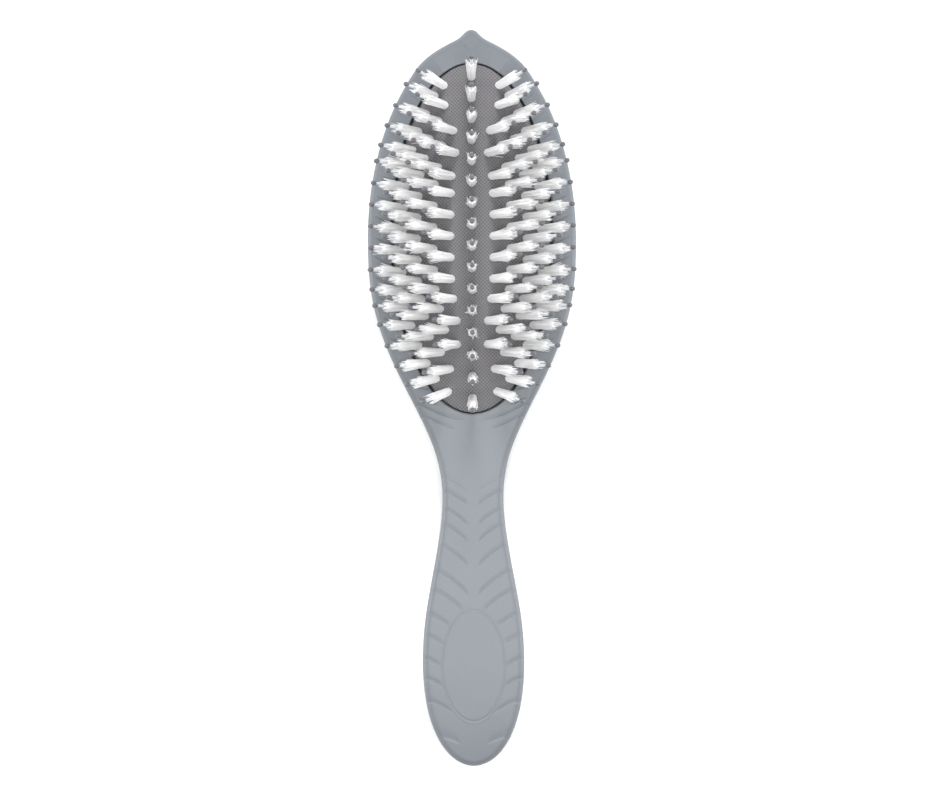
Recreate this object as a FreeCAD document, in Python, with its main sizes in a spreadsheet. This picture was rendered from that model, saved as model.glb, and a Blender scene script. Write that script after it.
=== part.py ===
"""A detangling brush: a leaf-shaped body, a rubber air cushion, and rows of bristle tufts with beaded pins.

Millimetres. The brush lies on its back: +Z is the way the pins point, +Y runs to the tip, X is across.
The origin is on the back of the brush, under the centre of the oval cushion.
"""
import FreeCAD, Part
import math
import os

import Sketcher
from FreeCAD import Placement, Rotation, Vector

# Driving sizes: alias, value in millimetres, what it is.
SIZES = [
    ("opening_length", 109.4, "mouth of the head, along the brush"),
    ("opening_width", 50.6, "mouth of the head, across"),
    ("frame_side", 7.2, "frame beside the mouth, at the widest place"),
    ("frame_tip", 10.7, "frame from the mouth to the tip of the leaf"),
    ("tip_round", 2.6, "radius of the tip of the leaf, seen from the front"),
    ("neck_width", 19.1, "narrowest place of the neck"),
    ("neck_place", 79.2, "from the centre of the cushion to the neck"),
    ("grip_width", 31.6, "widest place of the handle"),
    ("grip_place", 130.8, "from the centre of the cushion to the widest place of the handle"),
    ("body_reach", 164.6, "from the centre of the cushion to the butt"),
    ("head_thick", 14.0, "head, from its back to its front"),
    ("neck_thick", 11.0, "neck"),
    ("neck_lift", 2.6, "hollow under the neck"),
    ("grip_thick", 16.0, "handle at its widest place"),
    ("tip_drop", 2.2, "fall of the front towards the tip"),
    ("tip_lift", 3.4, "rise of the back towards the tip"),
    ("butt_drop", 3.2, "fall of the front towards the butt"),
    ("butt_lift", 3.6, "rise of the back towards the butt"),
    ("front_round", 2.0, "radius of the front edge"),
    ("back_round", 1.9, "radius of the back edge"),
    ("back_flat", 0.3, "depth of the flat that the back rests on"),
    ("back_wall", 3.0, "wall behind the air space"),
    ("lip_thick", 2.6, "lip over the rim of the cushion"),
    ("rim_thick", 2.2, "rim of the cushion"),
    ("rim_reach", 1.5, "how far the rim goes under the lip"),
    ("rim_clear", 0.15, "clearance of the rim in its groove"),
    ("ledge_width", 2.6, "ledge under the rim, in from the mouth"),
    ("crevice", 0.9, "gap between the lip and the cushion's dome"),
    ("pad_crown", 6.5, "height of the dome above the front of the head"),
    ("pad_wall", 1.6, "thickness of the rubber"),
    ("dome_sink", 1.0, "from the underside of the rim down to the centre of the dome's ellipsoid"),
    ("hole_clear", 0.12, "clearance of a tuft in its hole"),
    ("row_margin_tip", 4.9, "from the mouth's end at the tip to the first row"),
    ("row_margin_neck", 5.3, "from the mouth's end at the neck to the last row"),
    ("arm_start", 1.2, "shift of every chevron arm out from the middle line"),
    ("arm_rise", 3.1, "step of a chevron arm towards the tip, from tuft to tuft, where rows stand row_pitch apart"),
    ("row_pitch", 6.6, "distance from row to row that arm_rise is given for"),
    ("lean_start", 7.0, "distance from the middle line at which the tufts lean out most of the way"),
    ("tuft_root", 2.7, "diameter of a tuft at the rubber"),
    ("tuft_spread", 3.6, "diameter of a tuft near its top"),
    ("tuft_reach", 16.0, "length of a tuft above the rubber"),
    ("tuft_straight", 2.4, "length above the rubber before the tuft spreads"),
    ("tuft_crown", 1.3, "height of the rounded top of a tuft"),
    ("seat_gap", 1.0, "from the underside of the rubber to the button"),
    ("button_width", 3.3, "diameter of the button at the foot of a pin"),
    ("button_thick", 1.0, "thickness of the button"),
    ("stem_width", 0.9, "diameter of a pin"),
    ("stem_clear", 0.06, "clearance of a pin in its tuft and of a bead on its pin"),
    ("pin_reach", 20.0, "from the rubber to the top of the bead"),
    ("bead_width", 1.6, "diameter of a bead"),
    ("bead_length", 2.2, "length of a bead"),
    ("bead_socket", 1.2, "depth of the hole in a bead"),
]

# Arms of the chevron rows, from the tip on. Each tuft of an arm has its share of the dome's half width, and its
# steps of arm_rise towards the tip. The first rows are short, and the last ones bend round the end of the oval.
TIP_ARMS = [
    [],
    [(0.585, 1.3)],
    [(0.44, 1.45), (0.69, 2.4)],
    [(0.23, 1.0), (0.49, 1.95), (0.73, 2.75)],
    [(0.18, 0.9), (0.375, 1.6), (0.58, 2.3), (0.77, 3.1)],
    [(0.22, 0.7), (0.41, 1.6), (0.61, 2.5), (0.795, 3.4)],
]
FULL_ARMS = 5 * [[(0.225, 1.1), (0.44, 2.0), (0.64, 3.0), (0.81, 4.0)]]
NECK_ARMS = [
    [(0.205, 1.25), (0.435, 2.2), (0.65, 3.05), (0.83, 4.0)],
    [(0.17, 1.2), (0.395, 2.4), (0.63, 3.4), (0.835, 4.2)],
    [(0.185, 1.0), (0.35, 2.45), (0.61, 3.85), (0.83, 4.75)],
    [(0.35, 0.7), (0.46, 2.35), (0.585, 3.95), (0.815, 5.05)],
    [(0.52, 0.6), (0.67, 1.9), (0.735, 3.4), (0.785, 5.2)],
]
# Lean of the tufts, as a slope: out to the sides, and towards both ends of the oval.
SIDE_SLOPE = 0.65
END_SLOPE = 0.40
END_POWER = 5
# Shape of the leaf's outline. The tip is an arc, as turns in degrees, with a straight flank on either side.
TIP_FULLNESS = 0.6
TIP_TURNS = [(0, 0.0), (25, 0.0), (45, 0.0), (45, 0.56)]
TIP_POINTS = [(0.193, 0.938), (0.347, 0.894)]
WAIST_SKEW = 1.3
BUTT_FULLNESS = 2.3
# The head is level over these shares of the way to the tip and to the neck.
HEAD_LEVEL = 0.6
NECK_LEVEL = 0.55
SPARE = 4.0

doc = FreeCAD.newDocument("detangling_brush")
sheet = doc.addObject("Spreadsheet::Sheet", "sizes")
for line, (alias, value, meaning) in enumerate(SIZES, start=1):
    sheet.set("A%d" % line, meaning)
    sheet.set("B%d" % line, str(value))
    sheet.setAlias("B%d" % line, alias)
doc.recompute()


def size(alias):
    """A driving size, read from the sheet."""
    return float(sheet.get(alias))


def add(kind, label, **settings):
    """Add a document object with plain settings."""
    item = doc.addObject(kind, label)
    item.Label = label
    for key, value in settings.items():
        setattr(item, key, value)
    return item


def bind(item, **expressions):
    """Bind properties of an object to cells of the sheet."""
    for key, expression in expressions.items():
        item.setExpression(key, expression)
    return item


def feature(label, shape):
    """A sub-part whose shape is worked out here from the sheet."""
    item = add("Part::Feature", label)
    item.Shape = shape
    item.Placement = Placement()
    return item


# Levels of the head, from the back up. Each is an expression on the sheet and the same value here.
GROOVE_FLOOR = "(sizes.head_thick - sizes.lip_thick - sizes.rim_clear - sizes.rim_thick)"
RIM_TOP = "(sizes.head_thick - sizes.lip_thick - sizes.rim_clear)"
DOME_CENTRE = "(%s - sizes.dome_sink)" % GROOVE_FLOOR
DOME_HEIGHT = "(sizes.head_thick + sizes.pad_crown - %s)" % DOME_CENTRE
DOME_SHARE = "sqrt(1 - ((sizes.rim_thick + sizes.dome_sink) / %s)^2)" % DOME_HEIGHT
DOME_LENGTH = "((sizes.opening_length / 2 - sizes.crevice) / %s)" % DOME_SHARE
DOME_WIDTH = "((sizes.opening_width / 2 - sizes.crevice) / %s)" % DOME_SHARE

groove_floor = size("head_thick") - size("lip_thick") - size("rim_clear") - size("rim_thick")
dome_centre = groove_floor - size("dome_sink")
dome_height = size("head_thick") + size("pad_crown") - dome_centre
dome_share = math.sqrt(1 - ((size("rim_thick") + size("dome_sink")) / dome_height) ** 2)
dome_length = (size("opening_length") / 2 - size("crevice")) / dome_share
dome_width = (size("opening_width") / 2 - size("crevice")) / dome_share


def oval_prism(label, half_length, half_width, floor, height):
    """An upright oval prism. Its four sizes are expressions."""
    oval = add("Part::Ellipse", label + "_oval")
    oval.Placement = Placement(Vector(), Rotation(Vector(0, 0, 1), 90))
    bind(oval, MajorRadius=half_length, MinorRadius=half_width)
    oval.setExpression("Placement.Base.z", floor)
    prism = add("Part::Extrusion", label, Base=oval, DirMode="Custom", Dir=Vector(0, 0, 1), Solid=True)
    return bind(prism, LengthFwd=height)


def half_ellipse_at(y):
    """Half width of the dome's edge at a place along the brush."""
    length = size("opening_length") / 2 - size("crevice")
    width = size("opening_width") / 2 - size("crevice")
    return width * math.sqrt(max(0.0, 1 - (y / length) ** 2))


def outline_half():
    """Right half of the leaf from the tip to the butt, each stretch from its own formula."""
    head_half = size("opening_width") / 2 + size("frame_side")
    tip = size("opening_length") / 2 + size("frame_tip")
    neck_half = size("neck_width") / 2
    grip_half = size("grip_width") / 2
    neck = size("neck_place")
    grip = size("grip_place")
    butt = size("body_reach")
    bend = size("tip_round")
    points = []
    for turn, flank in TIP_TURNS:
        across = math.sin(math.radians(turn)) + flank
        down = 1 - math.cos(math.radians(turn)) + flank
        points.append((bend * across, tip - bend * down))
    for across, along in TIP_POINTS:
        points.append((across * head_half, along * tip))
    for along in (0.84, 0.75, 0.62, 0.46, 0.28, 0.12):
        points.append((head_half * (1 - along ** 2) ** TIP_FULLNESS, along * tip))
    for along in (0.0, 0.15, 0.30, 0.45, 0.60, 0.72, 0.85):
        swell = math.cos(math.pi / 2 * along ** WAIST_SKEW) ** 2
        points.append((neck_half + (head_half - neck_half) * swell, -along * neck))
    for along in (0.0, 0.25, 0.50, 0.75):
        swell = math.sin(math.pi / 2 * along) ** 2
        points.append((neck_half + (grip_half - neck_half) * swell, -neck - along * (grip - neck)))
    for along in (0.0, 0.25, 0.50, 0.70, 0.84, 0.94):
        points.append((grip_half * math.sqrt(1 - along ** BUTT_FULLNESS), -grip - along * (butt - grip)))
    points.append((0.0, -butt))
    return points


def smooth_edge(points, first, last):
    """A spline through points in the plane of the back, with the given ways at its two ends."""
    curve = Part.BSplineCurve()
    places = [Vector(x, y, 0) for x, y in points]
    curve.interpolate(Points=places, InitialTangent=first, FinalTangent=last, Scale=False)
    return curve.toShape()


def leaf_outline():
    """The closed outline in two smooth edges, over the tip and round the butt, that meet at the widest place."""
    half = outline_half()
    widest = [index for index, (x, y) in enumerate(half) if y <= 0][0]
    upper = half[:widest + 1]
    lower = half[widest:]
    upper_left = [(-x, y) for x, y in reversed(upper[1:])]
    lower_left = [(-x, y) for x, y in reversed(lower[:-1])]
    towards_tip = Vector(0, 1, 0)
    towards_butt = Vector(0, -1, 0)
    over_tip = smooth_edge(upper_left + upper, towards_tip, towards_butt)
    round_butt = smooth_edge(lower + lower_left, towards_butt, towards_tip)
    return Part.Wire([over_tip, round_butt])


def profile_edge(points):
    """A spline through points of the side profile."""
    curve = Part.BSplineCurve()
    curve.interpolate([Vector(0, y, z) for y, z in points])
    return curve.toShape()


def body_blank():
    """The side profile of the body, front and back, drawn out across the whole width of the head."""
    tip = size("opening_length") / 2 + size("frame_tip")
    front = size("head_thick")
    flat = -size("back_flat")
    places = [tip + SPARE, HEAD_LEVEL * tip, 0, -NECK_LEVEL * size("neck_place"), -size("neck_place"),
              -size("grip_place"), -size("body_reach") - SPARE]
    fronts = [front - size("tip_drop"), front, front, front, size("neck_lift") + size("neck_thick"),
              size("grip_thick"), size("grip_thick") - size("butt_drop")]
    backs = [size("tip_lift"), flat, flat, flat, size("neck_lift"), flat, size("butt_lift")]
    front_edge = profile_edge(list(zip(places, fronts)))
    back_edge = profile_edge(list(zip(places, backs)))
    ends = [Part.LineSegment(Vector(0, places[index], fronts[index]), Vector(0, places[index], backs[index])).toShape()
            for index in (0, -1)]
    profile = Part.Face(Part.Wire(Part.sortEdges([front_edge, back_edge] + ends)[0]))
    half = size("opening_width") / 2 + size("frame_side") + SPARE
    profile.translate(Vector(-half, 0, 0))
    return profile.extrude(Vector(2 * half, 0, 0))


def rounded_body():
    """The blank cut to the leaf's outline, with its front and back edges rounded and its back made flat."""
    tall = 4 * size("grip_thick")
    outline = Part.Face(leaf_outline())
    outline.translate(Vector(0, 0, -tall / 2))
    prism = outline.extrude(Vector(0, 0, tall))
    raw = prism.common(body_blank()).Solids[0]
    middle = size("head_thick") / 2
    rims = [edge for edge in raw.Edges if edge.BoundBox.YLength > size("grip_width")]
    front_rims = [edge for edge in rims if edge.CenterOfMass.z > middle]
    back_rims = [edge for edge in rims if edge.CenterOfMass.z < middle]
    solid = raw.makeFillet(size("front_round"), front_rims)
    back_keys = [edge.CenterOfMass for edge in back_rims]
    back_now = [edge for edge in solid.Edges
                if any((edge.CenterOfMass - key).Length < 0.05 for key in back_keys)]
    solid = solid.makeFillet(size("back_round"), back_now)
    reach = 2 * (size("body_reach") + size("opening_length"))
    above = Part.makeBox(reach, reach, tall, Vector(-reach / 2, -reach / 2, 0))
    return solid.common(above).Solids[0]


body_blank_solid = feature("leaf_blank", rounded_body())
mouth = oval_prism("mouth", "sizes.opening_length / 2", "sizes.opening_width / 2", GROOVE_FLOOR,
                   "sizes.head_thick")
groove = oval_prism("rim_groove", "sizes.opening_length / 2 + sizes.rim_reach + sizes.rim_clear",
                    "sizes.opening_width / 2 + sizes.rim_reach + sizes.rim_clear", GROOVE_FLOOR,
                    "sizes.rim_thick + sizes.rim_clear")
air_space = oval_prism("air_space", "sizes.opening_length / 2 - sizes.ledge_width",
                       "sizes.opening_width / 2 - sizes.ledge_width", "sizes.back_wall",
                       "sizes.head_thick - sizes.back_wall")
hollow = add("Part::MultiFuse", "hollow", Shapes=[mouth, groove, air_space])
leaf_body = add("Part::Cut", "leaf_body", Base=body_blank_solid, Tool=hollow)


def ellipsoid(label, inset):
    """An ellipsoid about the dome's centre, its poles along the brush and its seam underneath."""
    item = add("Part::Ellipsoid", label, Angle1=-90, Angle2=90, Angle3=360)
    axes = Rotation(Vector(0, 0, -1), Vector(-1, 0, 0), Vector(0, 1, 0), "ZXY")
    item.Placement = Placement(Vector(), axes)
    bind(item, Radius1=DOME_LENGTH + inset, Radius2=DOME_HEIGHT + inset, Radius3=DOME_WIDTH + inset)
    item.setExpression("Placement.Base.z", DOME_CENTRE)
    return item


def tuft_places():
    """Each chevron row as a list of (foot on the rubber, way it points), the middle tuft first.

    The rows share out the length of the mouth, and the arms rise with the distance from row to row.
    """
    first = size("opening_length") / 2 - size("row_margin_tip")
    last = -size("opening_length") / 2 + size("row_margin_neck")
    arms = TIP_ARMS + FULL_ARMS + NECK_ARMS
    pitch = (first - last) / (len(arms) - 1)
    rise = size("arm_rise") * pitch / size("row_pitch")
    rows = []
    for number, arm in enumerate(arms):
        middle = first - number * pitch
        spots = [(0.0, middle)]
        for share, steps in arm:
            y = middle + steps * rise
            x = size("arm_start") + share * half_ellipse_at(y)
            spots += [(-x, y), (x, y)]
        rows.append([tuft_stand(x, y) for x, y in spots])
    return rows


def tuft_stand(x, y):
    """Where a tuft stands on the dome, and the way it points."""
    level = math.sqrt(1 - (x / dome_width) ** 2 - (y / dome_length) ** 2)
    foot = Vector(x, y, dome_centre + dome_height * level)
    side = SIDE_SLOPE * x / math.hypot(x, size("lean_start"))
    end = END_SLOPE * (y / dome_length) ** END_POWER
    way = Vector(side, end, 1)
    return foot, way.normalize()


rows = tuft_places()
seat_depth = size("pad_wall") + size("seat_gap")


def hole_tools():
    """One round cutter through the rubber for each tuft."""
    radius = size("tuft_root") / 2 + size("hole_clear")
    return [Part.makeCylinder(radius, 2 * seat_depth, foot - way * seat_depth, way)
            for row in rows for foot, way in row]


dome_outside = ellipsoid("dome_outside", "")
dome_inside = ellipsoid("dome_inside", " - sizes.pad_wall")
above_rim = oval_prism("above_rim", DOME_LENGTH, DOME_WIDTH, RIM_TOP, DOME_HEIGHT)
dome = add("Part::MultiCommon", "dome", Shapes=[dome_outside, above_rim])
rim = oval_prism("rim", "sizes.opening_length / 2 + sizes.rim_reach",
                 "sizes.opening_width / 2 + sizes.rim_reach", GROOVE_FLOOR, "sizes.rim_thick")
domed_rim = add("Part::Fuse", "domed_rim", Base=dome, Tool=rim)
membrane = add("Part::Cut", "membrane", Base=domed_rim, Tool=dome_inside)
tuft_holes = feature("tuft_holes", Part.makeCompound(hole_tools()))
cushion_pad = add("Part::Cut", "cushion_pad", Base=membrane, Tool=tuft_holes)


def turned_piece(label, points):
    """A turned piece on the Z axis. Each point of its closed half profile is (radius, height) as expressions."""
    body = add("PartDesign::Body", label)
    sketch = body.newObject("Sketcher::SketchObject", label + "_profile")
    plane = [item for item in body.Origin.OriginFeatures if item.Role == "XZ_Plane"][0]
    sketch.AttachmentSupport = (plane, [""])
    sketch.MapMode = "FlatFace"
    values = [(evaluate(across), evaluate(up)) for across, up in points]
    count = len(points)
    for index in range(count):
        start = Vector(values[index][0], values[index][1], 0)
        end = Vector(values[(index + 1) % count][0], values[(index + 1) % count][1], 0)
        sketch.addGeometry(Part.LineSegment(start, end), False)
    for index in range(count):
        sketch.addConstraint(Sketcher.Constraint("Coincident", index, 2, (index + 1) % count, 1))
    for index, (across, up) in enumerate(points):
        place(sketch, "DistanceX", index, across, values[index][0], -2)
        place(sketch, "DistanceY", index, up, values[index][1], -1)
    turn = body.newObject("PartDesign::Revolution", label + "_turn")
    turn.Profile = sketch
    turn.ReferenceAxis = (sketch, ["V_Axis"])
    turn.Angle = 360
    return body


def evaluate(expression):
    """The number that an expression on the sheet gives."""
    return float(sheet.evalExpression(expression.replace("sizes.", "")))


def place(sketch, kind, index, expression, value, axis):
    """Hold a profile's point at a distance from an axis, or on the axis itself."""
    if expression == "0":
        sketch.addConstraint(Sketcher.Constraint("PointOnObject", index, 1, axis))
        return
    number = sketch.addConstraint(Sketcher.Constraint(kind, -1, 1, index, 1, value))
    sketch.setExpression("Constraints[%d]" % number, expression)


# Heights on a pin, from the underside of its button.
BUTTON_TOP = "sizes.button_thick"
RUBBER = "(sizes.button_thick + sizes.pad_wall + sizes.seat_gap)"
TUFT_TOP = "(%s + sizes.tuft_reach)" % RUBBER
BEAD_TOP = "(%s + sizes.pin_reach)" % RUBBER
BEAD_FOOT = "(%s - sizes.bead_length)" % BEAD_TOP
STEM_TOP = "(%s + sizes.bead_socket)" % BEAD_FOOT
STEM = "sizes.stem_width / 2"
BORE = "(sizes.stem_width / 2 + sizes.stem_clear)"

tuft = turned_piece("tuft", [
    (BORE, BUTTON_TOP),
    ("sizes.tuft_root / 2", BUTTON_TOP),
    ("sizes.tuft_root / 2", RUBBER + " + sizes.tuft_straight"),
    ("sizes.tuft_spread / 2", TUFT_TOP + " - sizes.tuft_crown"),
    ("(sizes.tuft_spread / 2 + %s) / 2" % BORE, TUFT_TOP + " - sizes.tuft_crown / 4"),
    (BORE, TUFT_TOP),
])
pin = turned_piece("pin", [
    ("0", "0"),
    ("sizes.button_width / 2", "0"),
    ("sizes.button_width / 2", BUTTON_TOP),
    (STEM, BUTTON_TOP),
    (STEM, STEM_TOP),
    ("0", STEM_TOP),
])
bead = turned_piece("bead", [
    (BORE, BEAD_FOOT),
    ("(sizes.bead_width / 2 + %s) / 2" % BORE, BEAD_FOOT),
    ("sizes.bead_width / 2", BEAD_TOP + " - sizes.bead_length * 0.55"),
    ("sizes.bead_width / 2", BEAD_TOP + " - sizes.bead_length * 0.35"),
    ("sizes.bead_width * 0.3", BEAD_TOP + " - sizes.bead_length * 0.08"),
    ("0", BEAD_TOP),
    ("0", STEM_TOP),
    (BORE, STEM_TOP),
])
doc.recompute()


def row_of(label, master, row):
    """The pieces of one kind in a chevron row, each set on its own place."""
    foot_height = size("button_thick") + seat_depth
    copies = []
    for foot, way in row:
        copy = master.Shape.copy()
        copy.Placement = Placement(foot - way * foot_height, Rotation(Vector(0, 0, 1), way))
        copies.append(copy)
    return feature(label, Part.makeCompound(copies))


pieces = [leaf_body, cushion_pad]
for number, row in enumerate(rows, start=1):
    pieces.append(row_of("tuft_row_%02d" % number, tuft, row))
    pieces.append(row_of("pin_row_%02d" % number, pin, row))
    pieces.append(row_of("bead_row_%02d" % number, bead, row))
doc.recompute()

for item in doc.Objects:
    if "Invalid" in item.State or "Error" in item.State:
        raise RuntimeError("%s failed: %s" % (item.Label, item.State))
for piece in pieces:
    if piece.Shape.isNull() or not piece.Shape.isValid():
        raise RuntimeError("%s has no valid shape" % piece.Label)
for whole in (leaf_body, cushion_pad):
    if len(whole.Shape.Solids) != 1:
        raise RuntimeError("%s is not one solid" % whole.Label)

os.makedirs("parts", exist_ok=True)
for piece in pieces:
    piece.Shape.exportStep("parts/%s.step" % piece.Label)
print("pieces: %d nodes, %d solids" % (len(pieces), sum(len(piece.Shape.Solids) for piece in pieces)))
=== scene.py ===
"""Looks of a detangling brush: a leaf-shaped body, a rubber cushion, bristle tufts and beaded pins.

The file is laid out as an add-on. Shapes are worked out in millimetres in the construction's own frame: the
brush lies on its back, +Z is the way the pins point, +Y runs to the tip and X is across.
"""
import math

import bmesh
import bpy
import numpy as np
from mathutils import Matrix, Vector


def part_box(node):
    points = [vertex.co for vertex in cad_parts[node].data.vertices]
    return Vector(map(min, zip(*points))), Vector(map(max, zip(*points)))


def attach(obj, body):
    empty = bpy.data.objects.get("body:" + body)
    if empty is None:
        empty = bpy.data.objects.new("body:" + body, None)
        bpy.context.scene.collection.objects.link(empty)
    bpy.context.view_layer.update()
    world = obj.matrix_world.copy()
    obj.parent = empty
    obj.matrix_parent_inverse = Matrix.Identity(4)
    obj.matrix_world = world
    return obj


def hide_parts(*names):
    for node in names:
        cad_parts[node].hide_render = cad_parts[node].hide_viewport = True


bl_info = {
    "name": "Leaf Brush Looks",
    "version": (1, 0, 0),
    "blender": (4, 5, 0),
    "location": "3D View > Sidebar > Brush",
    "description": "Body, cushion, bristles and stage of a detangling brush",
    "category": "Object",
}

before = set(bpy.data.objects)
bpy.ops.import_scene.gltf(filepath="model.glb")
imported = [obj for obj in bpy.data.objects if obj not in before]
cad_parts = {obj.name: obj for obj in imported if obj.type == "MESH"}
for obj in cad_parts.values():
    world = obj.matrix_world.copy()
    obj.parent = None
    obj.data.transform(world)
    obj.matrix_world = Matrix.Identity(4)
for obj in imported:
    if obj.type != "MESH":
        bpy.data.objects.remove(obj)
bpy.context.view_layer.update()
MM = 0.001

# Body, in millimetres. The tip, the butt and the widest place come from the construction's own box.
BODY_LOW, BODY_HIGH = (np.array(corner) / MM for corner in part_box("leaf_body"))
TIP = BODY_HIGH[1]
BUTT = -BODY_LOW[1]
HEAD_HALF = BODY_HIGH[0]
TIP_ROUND = 2.6
NECK_HALF, NECK_PLACE = 9.55, 79.2
GRIP_HALF, GRIP_PLACE = 15.8, 130.8
FRONT_ROUND, BACK_ROUND, LIP_ROUND = 2.0, 1.9, 0.45
MOUTH_LONG, MOUTH_WIDE = 54.7, 25.3
FRONT_PROFILE = [(TIP + 4, 11.8), (0.6 * TIP, 14.0), (0, 14.0), (-0.55 * NECK_PLACE, 14.0),
                 (-NECK_PLACE, 13.6), (-GRIP_PLACE, 16.0), (-BUTT - 4, 12.8)]
BACK_PROFILE = [(TIP + 4, 3.4), (0.6 * TIP, 0.0), (0, 0.0), (-0.55 * NECK_PLACE, 0.0),
                (-NECK_PLACE, 2.6), (-GRIP_PLACE, 0.0), (-BUTT - 4, 3.6)]
# The hollow behind the mouth, as (step out from the mouth, height): lip, groove for the rim, ledge, floor.
HOLLOW = [(0.0, 12.6), (0.0, 11.4), (1.65, 11.4), (1.65, 9.05), (-2.6, 9.05), (-2.6, 6.0), (-2.6, 3.0)]

# A vein starts at the edge and falls towards the butt on its way in. Fall by place of the inner end.
FALL = [(TIP - FRONT_ROUND, 0.0), (57.9, 3.1), (54.3, 5.0), (51.8, 3.8), (48.4, 3.4), (37, 2.6), (24, 2.0),
        (-8, 2.5), (-47.9, 2.0), (-52, 2.6), (-56.5, 5.0), (-68, 5.2), (-84, 5.2), (-90.8, 6.3),
        (-103.6, 7.8), (-112.4, 8.8), (-128, 10.5), (-147, 10.0), (-152, 8.4), (-158, 6.5),
        (-BUTT + FRONT_ROUND, 0.0)]
# Sweep of the lines: above 0 they fall early, below 0 late.
SWEEP = [(TIP, 0.0), (-40, 0.0), (-50, 1.0), (-56, 1.0), (-62, 0.6), (-75, -0.2), (-90, -0.4), (-BUTT, -0.4)]
# Veins: place of the inner end, share of the way in that they reach, share of the full depth.
VEINS = [(57.9, 0.6, 0.7), (54.3, 1.0, 0.9), (51.8, 1.0, 0.9), (48.4, 1.0, 0.9), (42.6, 1.0, 0.9),
         (36.6, 1.0, 0.9), (30.4, 1.0, 0.9), (23.8, 1.0, 0.9), (17.5, 1.0, 0.9), (11.0, 1.0, 0.9),
         (4.7, 1.0, 0.9), (-1.9, 1.0, 0.9), (-8.1, 1.0, 0.9), (-14.4, 1.0, 0.9), (-20.7, 1.0, 0.9),
         (-26.9, 1.0, 0.9), (-33.2, 1.0, 0.9), (-39.8, 1.0, 0.9), (-47.0, 1.0, 0.9), (-52.0, 0.7, 0.9),
         (-56.6, 0.85, 1.0), (-60.4, 0.62, 0.9), (-79.8, 1.0, 0.4), (-84.2, 1.0, 1.0), (-90.8, 1.0, 1.0),
         (-96.2, 1.0, 1.0), (-103.6, 1.0, 1.0), (-112.4, 1.0, 1.0), (-119.0, 1.0, 1.0), (-127.4, 1.0, 1.0),
         (-134.0, 1.0, 1.0), (-141.0, 1.0, 1.0), (-147.0, 1.0, 1.0), (-152.4, 1.0, 1.0), (-159.5, 0.55, 0.8)]
# Widths of a vein's two sides, as shares of the vein's width.
SLOW_SIDE, STEEP_SIDE = 2.0, 0.5
# Lines across a vein, in vein widths from its middle towards the butt.
VEIN_LINES = [-5, -4, -3, -2.2, -1.5, -0.9, -0.5, -0.25, 0, 0.25, 0.5, 0.75, 1, 1.4]
MIDRIB_HALF = 2.1
# Where a vein fades: the last share of its length, the first share of it on the head, the half width of the
# step at the midrib, and from share to share of the plaque's half axes.
VEIN_END, VEIN_START, MIDRIB_FADE, PLAQUE_FADE = 0.12, 0.15, 0.5, (1.03, 1.12)
# It also fades on the rounded front edge, from angle to angle in radians.
EDGE_FADE = (0.5, 1.4)
# Lines across the body: their distance, the least distance kept, and how many more stand at the mouth, on the
# first stretch at the tip and on the last one at the butt.
LINE_STEP, LINE_LEAST, MOUTH_LINES = 1.3, 0.04, 181
TIP_STRETCH, TIP_LINES, BUTT_STRETCH, BUTT_LINES = 9, 24, 14, 26
# Points of a line on the front, on the back, on a rounded edge and on the lip.
FRONT_POINTS, BACK_POINTS, ROUND_POINTS, LIP_POINTS = 19, 9, 7, 5
OUTLINE_SAMPLES, FALL_SAMPLES, PROFILE_SAMPLES = 3000, 4000, 800

# Plaque: its rings as shares of its half axes, its engraved line, and its rounded rim from share to share.
PLAQUE_PLACE, PLAQUE_LONG, PLAQUE_WIDE, PLAQUE_THICK = -133.0, 17.8, 9.9, 0.6
PLAQUE_RINGS = [0.0, 0.25, 0.5, 0.7, 0.84, 0.92, 0.945, 0.957, 0.969, 0.981, 0.993, 1.005, 1.02, 1.035]
PLAQUE_COLUMNS, PLAQUE_LIFT = 161, 0.05
PLAQUE_LINE, PLAQUE_LINE_WIDTH, PLAQUE_LINE_DEPTH = 0.969, 0.012, 0.16
PLAQUE_RIM, PLAQUE_RIM_DROP = (1.005, 1.035), 0.09

# Cushion: an ellipsoid about a centre below the rim. A power of the radius lifts its edge and draws it out.
DOME_CENTRE, DOME_HEIGHT, EDGE_HEIGHT = 8.05, 12.45, 3.2
DOME_SHARE = math.sqrt(1 - (EDGE_HEIGHT / DOME_HEIGHT) ** 2)
DOME_EDGE_LONG, DOME_EDGE_WIDE = 53.8, 24.4
DOME_LONG, DOME_WIDE = DOME_EDGE_LONG / DOME_SHARE, DOME_EDGE_WIDE / DOME_SHARE
EDGE_LIFT, EDGE_GROWTH, EDGE_POWER = 2.1, 0.4, 8
RUBBER, CREASE, RIM_ROUND = 1.6, 1.6, 0.3
RIM_TOP, RIM_FLOOR, RIM_REACH = 11.25, 9.05, 2.4
# The rim as (step out from the dome's edge, height): crease, flange under the lip, underside.
RIM = [(0.05, RIM_TOP - CREASE), (0.75, RIM_TOP - CREASE), (0.95, RIM_TOP), (RIM_REACH - RIM_ROUND, RIM_TOP),
       (RIM_REACH, RIM_TOP - RIM_ROUND), (RIM_REACH, RIM_FLOOR + RIM_ROUND),
       (RIM_REACH - RIM_ROUND, RIM_FLOOR), (-RUBBER, RIM_FLOOR)]
DOME_RINGS, INSIDE_RINGS, CUSHION_COLUMNS = 44, 14, 193

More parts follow.
